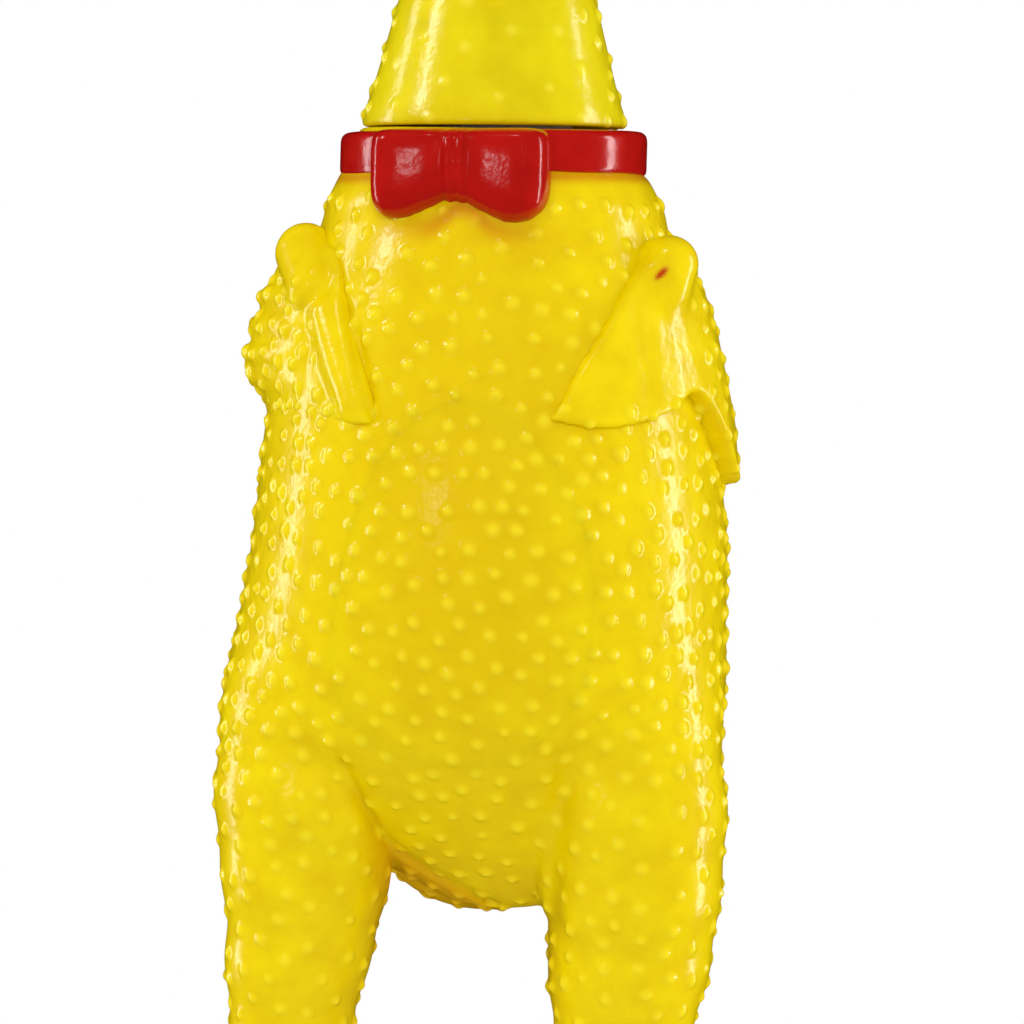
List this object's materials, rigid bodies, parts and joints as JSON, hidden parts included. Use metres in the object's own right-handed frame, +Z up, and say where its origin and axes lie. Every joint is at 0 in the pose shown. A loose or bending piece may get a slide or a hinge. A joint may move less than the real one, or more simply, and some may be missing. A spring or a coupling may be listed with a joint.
{
  "type": "rubber chicken toy",
  "caption": "Squeaking rubber chicken: hollow plucked-bird body with bow collar, folded wings, dangling legs, turning neck and a whistle that sounds when the belly is pressed",
  "frame": {"origin": "on the ground plane, midway between the soles of the feet, at the middle of the toy's width and depth", "axes": "+Z up along the body from feet to comb; -Y forward, the way the breast, beak and toes face; +X to the chicken's left"},
  "size_m": [0.0852, 0.076, 0.304],
  "materials": {
    "body_vinyl": "glossy soft vinyl, golden yellow, moulded goose-pimples",
    "neck_vinyl": "glossy soft vinyl, slightly paler lemon yellow",
    "red_paint": "soft vinyl sprayed with glossy red paint",
    "beak_orange": "soft vinyl painted orange",
    "eye_white": "soft vinyl painted white",
    "pupil_black": "soft vinyl painted black",
    "bush_plastic": "hard natural plastic",
    "whistle_plastic": "hard white plastic",
    "reed_film": "thin translucent plastic film"
  },
  "bodies": {
    "torso": {"torso_skin": "body_vinyl", "collar_band": "red_paint", "bow_tie": "red_paint"},
    "belly": {"belly_panel": "body_vinyl"},
    "wing_left": {"left_wing": "body_vinyl"},
    "wing_right": {"right_wing": "body_vinyl"},
    "thigh_left": {"left_thigh": "body_vinyl"},
    "thigh_right": {"right_thigh": "body_vinyl"},
    "shank_left": {"left_shank": "body_vinyl"},
    "shank_right": {"right_shank": "body_vinyl"},
    "foot_left": {"left_foot": "body_vinyl"},
    "foot_right": {"right_foot": "body_vinyl"},
    "neck": {"neck_skin": "neck_vinyl", "neck_bush": "bush_plastic", "whistle_housing": "whistle_plastic", "reed_seat": "whistle_plastic", "reed_wedge": "whistle_plastic", "whistle_cap": "whistle_plastic"},
    "reed": {"reed": "reed_film"},
    "head": {"head_skin": "neck_vinyl", "upper_beak": "beak_orange", "comb": "red_paint", "left_eye": "eye_white", "right_eye": "eye_white", "left_pupil": "pupil_black", "right_pupil": "pupil_black"},
    "jaw": {"lower_beak": "beak_orange", "tongue": "red_paint", "left_wattle": "red_paint", "right_wattle": "red_paint"}
  },
  "joints": [
    {"name": "belly_press", "type": "slide", "parent": "torso", "child": "belly", "axis": [0, 1, 0], "range_m": [0, 0.008], "stiffness_N_per_m": 400},
    {"name": "left_wing_lift", "type": "hinge", "parent": "torso", "child": "wing_left", "pos_m": [0.0358, 0.008, 0.175], "axis": [-0.3022, 0, 0.9532], "range_deg": [0, 15], "stiffness_Nm_per_rad": 0.3},
    {"name": "right_wing_lift", "type": "hinge", "parent": "torso", "child": "wing_right", "pos_m": [-0.0358, 0.008, 0.175], "axis": [-0.3022, 0, -0.9532], "range_deg": [0, 15], "stiffness_Nm_per_rad": 0.3},
    {"name": "left_hip_swing", "type": "hinge", "parent": "torso", "child": "thigh_left", "pos_m": [0.0262, -0.005, 0.11], "axis": [-1, 0, 0], "range_deg": [-30, 40], "stiffness_Nm_per_rad": 1.5},
    {"name": "left_knee_bend", "type": "hinge", "parent": "thigh_left", "child": "shank_left", "pos_m": [0.0273, -0.005, 0.056], "axis": [1, 0, 0], "range_deg": [-10, 40], "stiffness_Nm_per_rad": 1.2},
    {"name": "left_ankle_bend", "type": "hinge", "parent": "shank_left", "child": "foot_left", "pos_m": [0.0273, -0.004, 0.016], "axis": [1, 0, 0], "range_deg": [-15, 25], "stiffness_Nm_per_rad": 1},
    {"name": "right_hip_swing", "type": "hinge", "parent": "torso", "child": "thigh_right", "pos_m": [-0.0262, -0.005, 0.11], "axis": [-1, 0, 0], "range_deg": [-30, 40], "stiffness_Nm_per_rad": 1.5},
    {"name": "right_knee_bend", "type": "hinge", "parent": "thigh_right", "child": "shank_right", "pos_m": [-0.0273, -0.005, 0.056], "axis": [1, 0, 0], "range_deg": [-10, 40], "stiffness_Nm_per_rad": 1.2},
    {"name": "right_ankle_bend", "type": "hinge", "parent": "shank_right", "child": "foot_right", "pos_m": [-0.0273, -0.004, 0.016], "axis": [1, 0, 0], "range_deg": [-15, 25], "stiffness_Nm_per_rad": 1},
    {"name": "neck_turn", "type": "hinge", "parent": "torso", "child": "neck", "pos_m": [0, 0, 0.2195], "axis": [0, 0, 1], "range_deg": [-90, 90], "stiffness_Nm_per_rad": 0.3},
    {"name": "neck_bend", "type": "hinge", "parent": "neck", "child": "head", "pos_m": [0, 0, 0.243], "axis": [1, 0, 0], "range_deg": [-30, 30], "stiffness_Nm_per_rad": 0.6},
    {"name": "jaw_flex", "type": "hinge", "parent": "head", "child": "jaw", "pos_m": [0, -0.0145, 0.2615], "axis": [1, 0, 0], "range_deg": [-6, 12], "stiffness_Nm_per_rad": 0.2},
    {"name": "reed_flex", "type": "hinge", "parent": "neck", "child": "reed", "pos_m": [0, -0.0002, 0.2112], "axis": [1, 0, 0], "range_deg": [0, 4], "stiffness_Nm_per_rad": 0.02}
  ]
}
